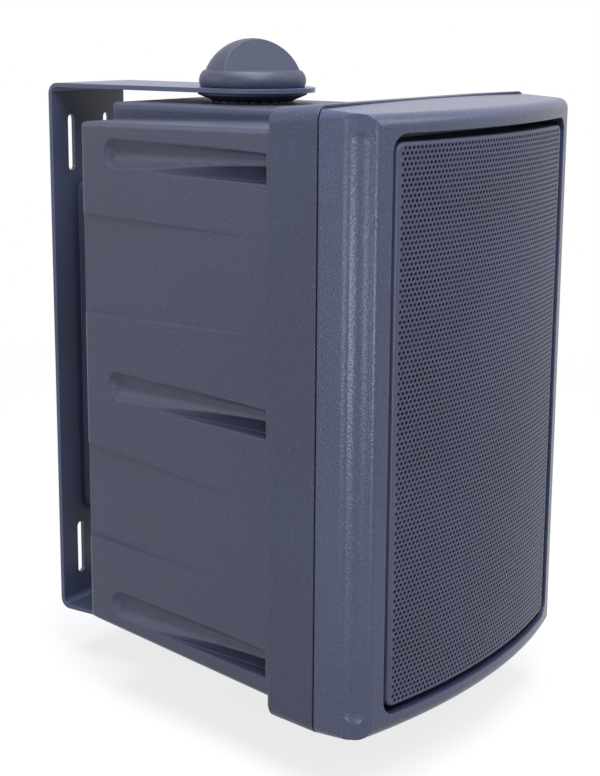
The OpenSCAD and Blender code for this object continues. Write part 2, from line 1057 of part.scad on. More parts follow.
module baffle_screws() {
    color([0.1, 0.1, 0.1])
        on_seam()
            boss_points()
                translate([0, baffle_y - fit_clear, 0])
                    pan_screw(screw_r, screw_head_r, 26);
}

// perforated grille, bowed like the bezel and folded back to the baffle

grille_w = opening_w - 2 * grille_gap;
grille_h = opening_h - 2 * grille_gap;
grille_corner_r = opening_r - grille_gap;
grille_r = bow_r - grille_inset;

module bow_disc(r) {
    translate([0, bow_axis, -half_h])
        cylinder(r = r, h = cabinet_h, $fn = 360);
}

module grille_openings() {
    pitch_x = (grille_w - 16) / (grille_columns - 1 + grille_hole / 16);
    pitch_z = pitch_x / cos(30);
    rows = min(grille_rows, floor((grille_h - grille_hole - 6) / pitch_z) + 1);
    mid = (grille_columns - 1) / 2;
    for (i = [0 : grille_columns - 1]) {
        n = i % 2 == 0 ? rows : rows - 1;
        for (j = [0 : n - 1])
            translate([(i - mid) * pitch_x, -baffle_front - 6, (j - (n - 1) / 2) * pitch_z])
                rotate([90, 0, 0])
                    cylinder(r = grille_hole / 2, h = bezel_bow, $fn = 6);
    }
}

module grille() {
    rim_y = baffle_y - seat_clear;
    color([0.27, 0.28, 0.35])
        on_seam()
            difference() {
                intersection() {
                    bow_disc(grille_r);
                    slab_y(grille_w, grille_h, grille_corner_r, -bezel_bow - 10, rim_y);
                }
                intersection() {
                    bow_disc(grille_r - grille_t);
                    slab_y(grille_w - 2 * grille_t, grille_h - 2 * grille_t,
                        grille_corner_r - grille_t / 2, -bezel_bow - 10, rim_y + 1);
                }
                grille_openings();
            }
}

// woofer; depth is counted from the front of the baffle

magnet_r = woofer_magnet_d / 2;
coil_r = coil_d / 2;
basket_r = woofer_cut_d / 2 - 1;
plate_y = 34.3;
plate_t = 5;
magnet_y = plate_y + plate_t + fit_clear;
magnet_t = 16;
pole_y = magnet_y + magnet_t + fit_clear;
pole_t = 5;
pole_r = coil_r - 1;
gap_r = coil_r + swing_clear;
spider_y = 21.4;
cone_r = 49.5;
roll_r = 3.8;

module on_woofer() {
    translate([0, seam_y + baffle_y, woofer_z])
        children();
}

module woofer_basket() {
    t = 1.3;
    ledge_r = 47.5;
    floor_r = 34;
    floor_y = plate_y - fit_clear;
    windows = 6;
    color([0.12, 0.12, 0.13])
        on_woofer()
            difference() {
                turned_y()
                    polygon([
                        [basket_r - t, -2],
                        [woofer_d / 2, -2],
                        [woofer_d / 2, -fit_clear],
                        [basket_r, -fit_clear],
                        [basket_r, 5],
                        [ledge_r, spider_y + t],
                        [ledge_r - 5, spider_y + 2 * t],
                        [floor_r, floor_y - t],
                        [floor_r, floor_y],
                        [gap_r + 4, floor_y],
                        [gap_r + 4, floor_y - t],
                        [floor_r - t, floor_y - t],
                        [ledge_r - 6 - t, spider_y + fit_clear],
                        [ledge_r - t, spider_y + fit_clear],
                        [basket_r - t, 5]
                    ]);
                for (i = [0 : windows - 1])
                    rotate([0, i * 360 / windows, 0])
                        translate([ledge_r + 4, 13, 0])
                            rotate([0, 90, 0])
                                cylinder(r = 6.5, h = 30, center = true);
                ring_of_four(woofer_screw_ring)
                    disc_y(screw_r + fit_clear, -4, 2);
            }
}

module woofer_gasket() {
    inner = basket_r + 2.4;
    color([0.08, 0.08, 0.09])
        on_woofer()
            difference() {
                tube_y(woofer_d / 2 - 0.2, inner, -4, -2 - fit_clear);
                ring_of_four(woofer_screw_ring)
                    disc_y(screw_r + fit_clear, -6, 2);
            }
}

module woofer_surround() {
    t = 0.6;
    roll_mid = cone_r + roll_r;
    y0 = -2 - fit_clear;
    color([0.05, 0.05, 0.05])
        on_woofer()
            turned_y() {
                translate([roll_mid, y0])
                    difference() {
                        circle(r = roll_r);
                        circle(r = roll_r - t);
                        translate([-10, 0])
                            square([20, 10]);
                    }
                translate([roll_mid + roll_r - t, y0 - t])
                    square([basket_r + 2.3 - roll_mid - roll_r + t, t]);
            }
}

function cone_y(r) = -1.2 + (cone_r - r) / (cone_r - coil_r) * 14;

module woofer_cone() {
    t = 0.9;
    neck = coil_r + fit_clear;
    edge = cone_r - 0.1;
    color([0.1, 0.1, 0.11])
        on_woofer()
            turned_y()
                polygon([
                    [neck, cone_y(neck)],
                    [edge, cone_y(edge)],
                    [edge, cone_y(edge) + t],
                    [neck, cone_y(neck) + t + 1]
                ]);
}

module woofer_dust_cap() {
    cap_r = 17;
    rise = 5;
    t = 0.6;
    r = (pow(cap_r, 2) + pow(rise, 2)) / (2 * rise);
    foot = cone_y(cap_r) - fit_clear;
    color([0.06, 0.06, 0.07])
        on_woofer()
            turned_y()
                intersection() {
                    translate([0, foot + r - rise])
                        difference() {
                            circle(r = r, $fn = 128);
                            circle(r = r - t, $fn = 128);
                        }
                    translate([0, foot - rise - 1])
                        square([cap_r, rise + 1]);
                }
}

module woofer_coil() {
    t = 0.6;
    color([0.7, 0.4, 0.2])
        on_woofer()
            tube_y(coil_r, coil_r - t, cone_y(coil_r) - 1, 45);
}

module woofer_spider() {
    t = 0.6;
    ridge = 1;
    inner = coil_r + fit_clear;
    outer = 45;
    step = (outer - inner) / 6;
    y0 = spider_y - t;
    top = [for (i = [0 : 6]) [inner + i * step, y0 - (i % 2) * ridge]];
    low = [for (i = [6 : -1 : 0]) [inner + i * step, y0 + t - (i % 2) * ridge]];
    color([0.8, 0.7, 0.45])
        on_woofer()
            turned_y()
                polygon(concat(top, low));
}

module woofer_top_plate() {
    color([0.6, 0.6, 0.62])
        on_woofer()
            tube_y(magnet_r - 3, gap_r, plate_y, plate_y + plate_t);
}

module woofer_magnet() {
    color([0.15, 0.15, 0.16])
        on_woofer()
            tube_y(magnet_r, coil_r + 3.5, magnet_y, magnet_y + magnet_t);
}

module woofer_pole_plate() {
    color([0.6, 0.6, 0.62])
        on_woofer() {
            disc_y(magnet_r - 3, pole_y, pole_y + pole_t);
            disc_y(pole_r, plate_y - 2, pole_y + eps);
        }
}

module woofer_screws() {
    color([0.1, 0.1, 0.1])
        on_woofer()
            ring_of_four(woofer_screw_ring)
                translate([0, -4 - fit_clear, 0])
                    pan_screw(screw_r, screw_head_r, 14);
}

// tweeter; depth is counted from the front of the baffle

module on_tweeter() {
    translate([0, seam_y + baffle_y, tweeter_z])
        children();
}

module tweeter_face() {
    throat = dome_d / 2 + 1.6;
    color([0.1, 0.1, 0.11])
        on_tweeter()
            difference() {
                turned_y()
                    polygon([
                        [throat, -1],
                        [throat + 8, -2.5],
                        [tweeter_d / 2 - 1, -2.5],
                        [tweeter_d / 2, -1.5],
                        [tweeter_d / 2, -fit_clear],
                        [throat, -fit_clear]
                    ]);
                ring_of_four(tweeter_screw_ring)
                    disc_y(1.35, -4, 2);
            }
}

module tweeter_dome() {
    rise = 5;
    t = 0.5;
    foot = dome_d / 2;
    r = (pow(foot, 2) + pow(rise, 2)) / (2 * rise);
    color([0.5, 0.5, 0.53])
        on_tweeter()
            turned_y() {
                intersection() {
                    translate([0, r - rise])
                        difference() {
                            circle(r = r, $fn = 96);
                            circle(r = r - t, $fn = 96);
                        }
                    translate([0, -rise - 1])
                        square([foot + 1, rise + 1]);
                }
                translate([foot - 1.2, 0])
                    square([4, t]);
            }
}

module tweeter_motor() {
    rim_r = 29;
    depth = 20;
    color([0.25, 0.25, 0.27])
        on_tweeter()
            difference() {
                disc_y(rim_r, fit_clear, depth);
                disc_y(dome_d / 2 + 3, -1, 0.8);
                disc_y(dome_d / 2 - 1, -1, 5);
            }
}

module tweeter_screws() {
    color([0.1, 0.1, 0.1])
        on_tweeter()
            ring_of_four(tweeter_screw_ring)
                translate([0, -2.5 - fit_clear, 0])
                    pan_screw(1.3, 2.6, 9);
}

// terminal plate in the back; y is counted outwards from the back face

lever_w = 11;
lever_t = 3;
lever_drop = 13;
lever_pitch = 18;
lever_pin_r = 1.1;
lever_pivot_y = -cup_depth + 6.4;
lever_pivot_z = 8;
lever_head_r = 2.3;

module on_back() {
    translate([0, back_y, cup_z])
        children();
}

module lever_places() {
    for (x = [-1, 1])
        translate([x * lever_pitch / 2, 0, 0])
            children();
}

module terminal_cup() {
    tub_in = cup_tub - 4;
    block_w1 = 2 * lever_pitch + 2;
    block_h1 = 26;
    block_y = -cup_depth + 9;
    slot = lever_w + 2 * swing_clear;
    color([0.1, 0.1, 0.11])
        on_back()
            difference() {
                union() {
                    difference() {
                        union() {
                            slab_y(cup_size, cup_size, 3, -cup_sink + fit_clear, cup_plate_t - cup_sink);
                            slab_y(cup_tub, cup_tub, 2, -cup_depth - 2, 0);
                        }
                        slab_y(tub_in, tub_in, 2, -cup_depth, 4);
                    }
                    translate([-block_w1 / 2, -cup_depth - eps, -block_h1 / 2])
                        cube([block_w1, block_y + cup_depth, block_h1]);
                }
                lever_places() {
                    translate([-slot / 2, -cup_depth + 0.8, lever_pivot_z - lever_drop - 1.4])
                        cube([slot, 20, lever_drop + 1.4 + lever_head_r + 0.6]);
                    translate([0, 0, -block_h1 / 2 + 2.6])
                        disc_y(1.6, -cup_depth + 1, 5);
                }
                translate([0, lever_pivot_y, lever_pivot_z])
                    rotate([0, 90, 0])
                        cylinder(r = lever_pin_r + fit_clear, h = block_w1 - 2, center = true);
                for (x = [-1, 1], z = [-1, 1])
                    translate([x * cup_screw, 0, z * cup_screw])
                        disc_y(1.35, -3, 4);
            }
}

module lever_body() {
    difference() {
        union() {
            rotate([0, 90, 0])
                cylinder(r = lever_head_r, h = lever_w, center = true);
            translate([-lever_w / 2, -lever_t / 2, -lever_drop])
                cube([lever_w, lever_t, lever_drop]);
            translate([-lever_w / 2, -eps, -lever_drop])
                cube([lever_w, lever_t / 2 + 2.6, 2.4]);
        }
        rotate([0, 90, 0])
            cylinder(r = lever_pin_r + fit_clear, h = lever_w + 2, center = true);
    }
}

module terminal_lever(x) {
    on_back()
        translate([x * lever_pitch / 2, lever_pivot_y, lever_pivot_z])
            lever_body();
}

module terminal_lever_red() {
    color([0.75, 0.08, 0.08])
        terminal_lever(1);
}

module terminal_lever_black() {
    color([0.04, 0.04, 0.04])
        terminal_lever(-1);
}

module lever_pin() {
    color([0.7, 0.7, 0.72])
        on_back()
            translate([0, lever_pivot_y, lever_pivot_z])
                rotate([0, 90, 0])
                    cylinder(r = lever_pin_r, h = 2 * lever_pitch - 0.4, center = true);
}

module terminal_contacts() {
    color([0.8, 0.65, 0.3])
        on_back()
            lever_places()
                translate([-2.5, -cup_depth - 2 - 8 - fit_clear, -4]) {
                    cube([5, 8, 0.8]);
                    translate([0, 7.2, -5])
                        cube([5, 0.8, 8]);
                }
}

module terminal_screws() {
    color([0.1, 0.1, 0.1])
        on_back()
            for (x = [-1, 1], z = [-1, 1])
                translate([x * cup_screw, cup_plate_t - cup_sink + fit_clear, z * cup_screw])
                    mirror([0, 1, 0])
                        pan_screw(1.25, 2.6, 6);
}

// crossover on its posts inside the back wall

board_y = shell_depth - shell_wall - board_post - board_t;

module crossover_board() {
    color([0.1, 0.35, 0.15])
        on_seam()
            difference() {
                slab_y_at(board_z, board_w, board_h, 1, board_y - fit_clear, board_y + board_t - fit_clear);
                board_corners()
                    disc_y(1.3, board_y - 1, board_y + board_t + 1);
            }
}

module slab_y_at(z, w, h, r, y0, y1) {
    translate([0, 0, z])
        slab_y(w, h, r, y0, y1);
}

module crossover_coil() {
    color([0.72, 0.42, 0.2])
        on_seam()
            translate([-20, board_y - 2 * fit_clear, board_z + 2])
                tube_y(13, 6, -14, 0);
}

module crossover_capacitor() {
    cap_r = 6.5;
    color([0.15, 0.2, 0.45])
        on_seam()
            translate([10, board_y - 2 * fit_clear - cap_r, board_z + 10])
                rotate([0, 90, 0])
                    cylinder(r = cap_r, h = 26, center = true);
}

module crossover_resistor() {
    color([0.85, 0.83, 0.78])
        on_seam()
            translate([6, board_y - 2 * fit_clear - 9, board_z - 14])
                cube([22, 9, 9]);
}

module board_screws() {
    color([0.6, 0.6, 0.62])
        on_seam()
            board_corners()
                translate([0, board_y - 2 * fit_clear, 0])
                    pan_screw(1.25, 2.4, 6.5);
}

u_bracket();
upper_knob();
upper_nut();
upper_stud();
upper_washer();
lower_knob();
lower_nut();
lower_stud();
lower_washer();
rear_shell();
front_bezel();
grille();
seam_gasket();
baffle_screws();
upper_insert();
lower_insert();
upper_pad();
lower_pad();
woofer_basket();
woofer_gasket();
woofer_surround();
woofer_cone();
woofer_dust_cap();
woofer_coil();
woofer_spider();
woofer_top_plate();
woofer_magnet();
woofer_pole_plate();
woofer_screws();
tweeter_face();
tweeter_dome();
tweeter_motor();
tweeter_screws();
terminal_cup();
terminal_lever_red();
terminal_lever_black();
lever_pin();
terminal_contacts();
terminal_screws();
crossover_board();
crossover_coil();
crossover_capacitor();
crossover_resistor();
board_screws();
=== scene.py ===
import math

import bmesh
import bpy
from mathutils import Matrix, Vector


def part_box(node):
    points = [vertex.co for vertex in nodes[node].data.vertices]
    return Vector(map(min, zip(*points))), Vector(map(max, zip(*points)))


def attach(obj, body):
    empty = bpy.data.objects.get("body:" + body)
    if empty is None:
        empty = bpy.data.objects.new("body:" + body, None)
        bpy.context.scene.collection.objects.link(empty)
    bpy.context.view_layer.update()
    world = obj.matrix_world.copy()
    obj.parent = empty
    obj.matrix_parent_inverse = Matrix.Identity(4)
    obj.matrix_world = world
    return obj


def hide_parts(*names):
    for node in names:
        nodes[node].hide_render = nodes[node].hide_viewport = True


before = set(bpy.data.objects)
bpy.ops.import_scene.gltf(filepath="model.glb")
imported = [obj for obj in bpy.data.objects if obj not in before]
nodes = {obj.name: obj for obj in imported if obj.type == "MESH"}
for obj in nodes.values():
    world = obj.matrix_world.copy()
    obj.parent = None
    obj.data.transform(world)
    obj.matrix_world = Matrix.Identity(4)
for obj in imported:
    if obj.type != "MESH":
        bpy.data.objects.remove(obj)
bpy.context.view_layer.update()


# node trees

class Wire:  # one output of a node; arithmetic on it adds Math nodes
    def __init__(self, bench, socket):
        self.bench = bench
        self.socket = socket

    def math(self, operation, *others, clamp=False):
        settings = {"operation": operation, "use_clamp": clamp}
        return self.bench.add("ShaderNodeMath", settings, [self, *others])

    def __add__(self, other):
        return self.math("ADD", other)

    def __sub__(self, other):
        return self.math("SUBTRACT", other)

    def __rsub__(self, other):
        return self.bench.add("ShaderNodeMath", {"operation": "SUBTRACT"}, [other, self])

    def __mul__(self, other):
        return self.math("MULTIPLY", other)

    def __truediv__(self, other):
        return self.math("DIVIDE", other)

    def __gt__(self, other):
        return self.math("GREATER_THAN", other)

    __radd__ = __add__
    __rmul__ = __mul__

    def clamped(self):
        return self.math("ADD", 0.0, clamp=True)

    def ramp(self, low, high, toLow=0.0, toHigh=1.0):
        settings = {"interpolation_type": "SMOOTHSTEP"}
        return self.bench.add("ShaderNodeMapRange", settings, [self, low, high, toLow, toHigh])


class Bench:  # a node tree that is being built, for a finish or for geometry
    def __init__(self, tree):
        self.tree = tree

    def add(self, kind, settings=None, inputs=None, output=0):
        made = self.tree.nodes.new(kind)
        for key, value in (settings or {}).items():
            setattr(made, key, value)
        places = inputs.items() if isinstance(inputs, dict) else enumerate(inputs or [])
        for key, value in places:
            several = isinstance(value, tuple) and isinstance(value[0], Wire)
            for one in value if several else (value,):
                if isinstance(one, Wire):
                    self.tree.links.new(one.socket, made.inputs[key])
                else:
                    made.inputs[key].default_value = one
        return Wire(self, made.outputs[output]) if made.outputs else None

    def also(self, wire, output):  # another output of the same node
        return Wire(self, wire.socket.node.outputs[output])

    def vector(self, operation, *values, output=0):
        return self.add("ShaderNodeVectorMath", {"operation": operation}, list(values), output)

    def split(self, vector):
        x = self.add("ShaderNodeSeparateXYZ", None, [vector])
        return x, self.also(x, 1), self.also(x, 2)

    def join(self, x, y, z):
        return self.add("ShaderNodeCombineXYZ", None, [x, y, z])

    def blend(self, factor, first, second):  # sockets 6 and 7 are the Mix node's two colours
        return self.add("ShaderNodeMix", {"data_type": "RGBA"}, {0: factor, 6: first, 7: second}, 2)


# finishes

class Finish(Bench):
    def __init__(self, name):
        self.material = bpy.data.materials.new(name)
        self.material.use_nodes = True
        super().__init__(self.material.node_tree)
        self.tree.nodes.clear()
        self.place = self.add("ShaderNodeTexCoord", output="Object")

    def noise(self, size, detail=2.0, roughness=0.5, stretch=None):  # size of one blob in metres
        place = self.place
        if stretch:
            place = self.add("ShaderNodeMapping", None, {"Vector": place, "Scale": stretch})
        inputs = {"Vector": place, "Scale": 1 / size, "Detail": detail, "Roughness": roughness}
        return self.add("ShaderNodeTexNoise", None, inputs)

    def cells(self, size):
        return self.add("ShaderNodeTexVoronoi", None, {"Vector": self.place, "Scale": 1 / size})

    def bump(self, height, depth, edge=0.0):  # edge rounds the look of sharp corners
        inputs = {"Distance": depth, "Height": height}
        if edge:
            inputs["Normal"] = self.add("ShaderNodeBevel", {"samples": 6}, {"Radius": edge})
        return self.add("ShaderNodeBump", None, inputs)

    def done(self, **inputs):
        named = {key.replace("_", " "): value for key, value in inputs.items()}
        shader = self.add("ShaderNodeBsdfPrincipled", None, named)
        self.add("ShaderNodeOutputMaterial", None, [shader])
        return self.material


def rgba(colour, factor=1.0):
    return tuple(min(1.0, value * factor) for value in colour) + (1.0,)


plasticGrain = {
    "driftSize": 0.11,  # slow change of tone over the moulding
    "pitRatio": 1.5,  # size of a pit over that of a grain
    "grainTopHighlight": 3.2,  # painted highlight: brightness given to a grain's top
    "hollow": 0.40,  # painted shade: brightness given to the gaps between grains
    "dustSize": 0.004,
    "dustPatch": 0.06,
    "dustColour": (0.42, 0.43, 0.46),
}
# after the depth comes the strength of the painted highlight on grain tops and of the painted shade in the
# gaps between grains
plasticFinishes = {
    "shell_plastic": {
        "colour": (0.028, 0.034, 0.071), "grain": 0.0007, "depth": 0.00012, "reliefShading": 0.75,
        "rough": 0.46, "dust": 0.25, "edge": 0.0011,
    },
    "bezel_plastic": {
        "colour": (0.049, 0.058, 0.116), "grain": 0.0007, "depth": 0.00011, "reliefShading": 0.60,
        "rough": 0.30, "dust": 0.15, "edge": 0.0010,
    },
    "knob_plastic": {
        "colour": (0.034, 0.040, 0.074), "grain": 0.0006, "depth": 0.00008, "reliefShading": 0.40,
        "rough": 0.50, "dust": 0.20, "edge": 0.0006,
    },
    "driver_plastic": {
        "colour": (0.022, 0.022, 0.024), "grain": 0.0008, "depth": 0.00006, "reliefShading": 0.20,
        "rough": 0.45, "dust": 0.10, "edge": 0.0003,
    },
    "red_plastic": {
        "colour": (0.55, 0.030, 0.022), "grain": 0.0006, "depth": 0.00003, "reliefShading": 0.05,
        "rough": 0.34, "dust": 0.05, "edge": 0.0003,
    },
    "black_plastic": {
        "colour": (0.020, 0.020, 0.022), "grain": 0.0006, "depth": 0.00003, "reliefShading": 0.10,
        "rough": 0.34, "dust": 0.05, "edge": 0.0003,
    },
    "board_green": {
        "colour": (0.030, 0.140, 0.055), "grain": 0.0009, "depth": 0.00003, "reliefShading": 0.10,
        "rough": 0.36, "dust": 0.05, "edge": 0.0,
    },
    "capacitor_blue": {
        "colour": (0.045, 0.120, 0.330), "grain": 0.0009, "depth": 0.00002, "reliefShading": 0.04,
        "rough": 0.28, "dust": 0.05, "edge": 0.0,
    },
    "resistor_ceramic": {
        "colour": (0.68, 0.66, 0.60), "grain": 0.0005, "depth": 0.00006, "reliefShading": 0.06,
        "rough": 0.70, "dust": 0.05, "edge": 0.0004,
    },
}


def mouldedPlastic(name, v):
    f, look = Finish(name), plasticGrain
    grain = f.noise(v["grain"], 2.0, 0.6)
    pits = f.cells(v["grain"] * look["pitRatio"])
    drift = f.noise(look["driftSize"], 2.0)
    base = f.blend(drift.ramp(0.35, 0.65), rgba(v["colour"], 0.93), rgba(v["colour"], 1.07))
    # painted highlight: the grain's tops, where the bump is highest, are lightened
    base = f.blend(grain.ramp(0.60, 0.74) * v["reliefShading"], base, rgba(v["colour"], look["grainTopHighlight"]))
    # painted shade: the gaps between grains, where the bump is lowest, are darkened
    base = f.blend(grain.ramp(0.46, 0.30) * v["reliefShading"], base, rgba(v["colour"], look["hollow"]))
    dust = f.noise(look["dustSize"], 4.0, 0.7).ramp(0.66, 0.8) * f.noise(look["dustPatch"]).ramp(0.45, 0.7)
    base = f.blend(dust * v["dust"], base, rgba(look["dustColour"]))
    rough = v["rough"] + (drift - 0.5) * 0.10 + (grain - 0.5) * 0.16
    normal = f.bump(grain * 0.7 + pits * 0.5, v["depth"], v["edge"])
    return f.done(Base_Color=base, Roughness=rough.clamped(), Normal=normal)


paintWear = {
    "driftSize": 0.07,
    "rubSize": 0.009,
    "rubPatch": 0.05,
    "rubStretch": (1.0, 1.0, 0.25),  # rubs run up and down the steel
    "rubColour": (0.30, 0.30, 0.32),
}
paintFinishes = {
    "bracket_paint": {
        "colour": (0.054, 0.066, 0.128), "grain": 0.0007, "depth": 0.00005, "reliefShading": 0.25,
        "rough": 0.34, "rub": 0.35, "edge": 0.0004,
    },
    "grille_paint": {
        "colour": (0.046, 0.052, 0.098), "grain": 0.0005, "depth": 0.00003, "reliefShading": 0.25,
        "rough": 0.42, "rub": 0.15, "edge": 0.0,
    },
    "basket_paint": {
        "colour": (0.018, 0.018, 0.020), "grain": 0.0008, "depth": 0.00006, "reliefShading": 0.20,
        "rough": 0.45, "rub": 0.20, "edge": 0.0,
    },
    "black_steel": {
        "colour": (0.020, 0.020, 0.022), "grain": 0.0004, "depth": 0.00003, "reliefShading": 0.15,
        "rough": 0.36, "rub": 0.50, "edge": 0.0002,
    },
}


def sprayedSteel(name, v):
    f, wear = Finish(name), paintWear
    peel = f.noise(v["grain"], 3.0, 0.65)
    drift = f.noise(wear["driftSize"], 3.0)
    rubs = f.noise(wear["rubSize"], 5.0, 0.75, wear["rubStretch"])
    rub = rubs.ramp(0.64, 0.74) * f.noise(wear["rubPatch"]).ramp(0.5, 0.68)
    base = f.blend(drift.ramp(0.3, 0.7), rgba(v["colour"], 0.88), rgba(v["colour"], 1.12))
    # painted highlight: the tops of the peel, where the bump is highest, are lightened
    base = f.blend(peel.ramp(0.55, 0.75) * v["reliefShading"], base, rgba(v["colour"], 2.0))
    base = f.blend(rub * v["rub"], base, rgba(wear["rubColour"]))
    rough = v["rough"] + (drift - 0.5) * 0.12 + (peel - 0.5) * 0.18 - rub * 0.1
    normal = f.bump(peel, v["depth"], v["edge"])
    return f.done(Base_Color=base, Roughness=rough.clamped(), Normal=normal)


metalMarks = {"lineSize": 0.0006, "lineDepth": 0.00004, "stainSize": 0.006}
metalFinishes = {  # stretch draws the marks out along one axis
    "zinc_steel": {"colour": (0.62, 0.64, 0.68), "metal": 1.0, "rough": 0.30, "stretch": (1.0, 1.0, 0.15)},
    "insert_brass": {"colour": (0.72, 0.52, 0.22), "metal": 1.0, "rough": 0.28, "stretch": (1.0, 1.0, 0.15)},
    "ferrite": {"colour": (0.045, 0.045, 0.048), "metal": 0.0, "rough": 0.62, "stretch": (1.0, 0.3, 1.0)},
}


def turnedMetal(name, v):
    f = Finish(name)
    lines = f.noise(metalMarks["lineSize"], 3.0, 0.6, v["stretch"])
    stain = f.noise(metalMarks["stainSize"], 4.0, 0.6)
    base = f.blend(lines.ramp(0.3, 0.7), rgba(v["colour"], 0.85), rgba(v["colour"], 1.1))
    base = f.blend(stain.ramp(0.55, 0.8) * 0.35, base, rgba(v["colour"], 0.55))
    rough = v["rough"] + (lines - 0.5) * 0.2 + stain.ramp(0.5, 0.8) * 0.15
    normal = f.bump(lines, metalMarks["lineDepth"])
    return f.done(Base_Color=base, Metallic=v["metal"], Roughness=rough.clamped(), Normal=normal)


cloudRatio = 14  # size of a cloud of tone over that of a fibre
softFinishes = {
    "black_foam": {
        "colour": (0.024, 0.024, 0.026), "grain": 0.0007, "depth": 0.00025, "reliefShading": 0.35, "rough": 0.85,
    },
    "black_rubber": {
        "colour": (0.026, 0.026, 0.028), "grain": 0.0006, "depth": 0.00005, "reliefShading": 0.18, "rough": 0.66,
    },
    "surround_rubber": {
        "colour": (0.020, 0.020, 0.022), "grain": 0.0006, "depth": 0.00003, "reliefShading": 0.10, "rough": 0.50,
    },
    "cone_paper": {
        "colour": (0.032, 0.032, 0.036), "grain": 0.0010, "depth": 0.00012, "reliefShading": 0.30, "rough": 0.78,
    },
    "cap_paper": {
        "colour": (0.026, 0.026, 0.029), "grain": 0.0008, "depth": 0.00008, "reliefShading": 0.25, "rough": 0.60,
    },
}


def softSkin(name, v):  # rubber, foam, paper and pressed fibre
    f = Finish(name)
    fibres = f.noise(v["grain"], 5.0, 0.7)
    cloud = f.noise(v["grain"] * cloudRatio, 3.0)
    base = f.blend(cloud.ramp(0.3, 0.7), rgba(v["colour"], 0.82), rgba(v["colour"], 1.2))
    # painted highlight: the tops of the fibres, where the bump is highest, are lightened
    base = f.blend(fibres.ramp(0.5, 0.8) * v["reliefShading"], base, rgba(v["colour"], 2.0))
    rough = v["rough"] + (fibres - 0.5) * 0.2
    return f.done(Base_Color=base, Roughness=rough.clamped(), Normal=f.bump(fibres, v["depth"]))


clothFinishes = {  # thread is the pitch of the weave
    "spider_cloth": {"colour": (0.42, 0.25, 0.08), "thread": 0.0011, "rough": 0.72},
    "dome_silk": {"colour": (0.075, 0.075, 0.085), "thread": 0.0006, "rough": 0.42},
}


def wovenCloth(name, v):
    f = Finish(name)
    x, _, z = f.split(f.place)
    turn = 2 * math.pi / v["thread"]
    warp = (x * turn).math("SINE")
    weft = (z * turn).math("SINE")
    weave = warp * weft * 0.5 + 0.5
    fibres = f.noise(v["thread"] * 0.5, 3.0)
    base = f.blend(weave, rgba(v["colour"], 0.7), rgba(v["colour"], 1.25))
    base = f.blend(fibres.ramp(0.5, 0.8) * 0.3, base, rgba(v["colour"], 1.8))
    rough = fibres * 0.2 + v["rough"]
    normal = f.bump(weave + fibres * 0.3, v["thread"] * 0.25)
    return f.done(Base_Color=base, Roughness=rough.clamped(), Normal=normal)


wireFinishes = {  # wire is its thickness, wound along y
    "copper_wire": {
        "colour": (0.70, 0.32, 0.14), "wire": 0.0008, "metal": 0.85, "rough": 0.25, "toneSize": 0.003,
    },
}


def woundWire(name, v):
    f = Finish(name)
    _, y, _ = f.split(f.place)
    turns = (y * (2 * math.pi / v["wire"])).math("SINE") * 0.5 + 0.5
    tone = f.noise(v["toneSize"], 3.0)
    # painted shade: the gaps between turns, where the bump is lowest, are darkened, and the turns' crowns
    # are lightened a little as painted highlight
    base = f.blend(turns, rgba(v["colour"], 0.45), rgba(v["colour"], 1.1))
    base = f.blend(tone.ramp(0.4, 0.8) * 0.3, base, rgba(v["colour"], 1.5))
    rough = tone * 0.2 + v["rough"]
    normal = f.bump(turns, v["wire"] * 0.4)
    return f.done(Base_Color=base, Metallic=v["metal"], Roughness=rough.clamped(), Normal=normal)


finishes = {}
for group, make in (
    (plasticFinishes, mouldedPlastic),
    (paintFinishes, sprayedSteel),
    (metalFinishes, turnedMetal),
    (softFinishes, softSkin),
    (clothFinishes, wovenCloth),
    (wireFinishes, woundWire),
):
    for slotName, values in group.items():
        finishes[slotName] = make(slotName + ".finish", values)

for name, node in nodes.items():
    for place in node.material_slots:
        slotName = place.material.name.split(".")[0]
        if slotName not in finishes:
            raise RuntimeError("no finish for " + slotName + " on " + name)
        place.material = finishes[slotName]
print("finishes:", len(finishes))


# grille

grilleSheet = {
    "pitch": 0.0023,  # between holes along a row
    "coarsePitch": 0.0046,
    "holeShare": 0.62,  # of the pitch, across the flats of a hole
    "plainEdge": 0.0002,  # steel left between the outer holes and the fold
    "corner": 0.0038,
    "fold": 0.0010,  # radius of the folded edge
    "foldSteps": 3,
    "cornerSteps": 6,
    "steel": 0.0006,
    "bowRadius": 0.3130,
    "weld": 0.00002,  # corners of the steel's strips and triangles nearer than this are joined
}
nearly = 1e-5  # for comparing lengths
atBaffle = 1.0  # depth that marks the rim which lies flat against the baffle


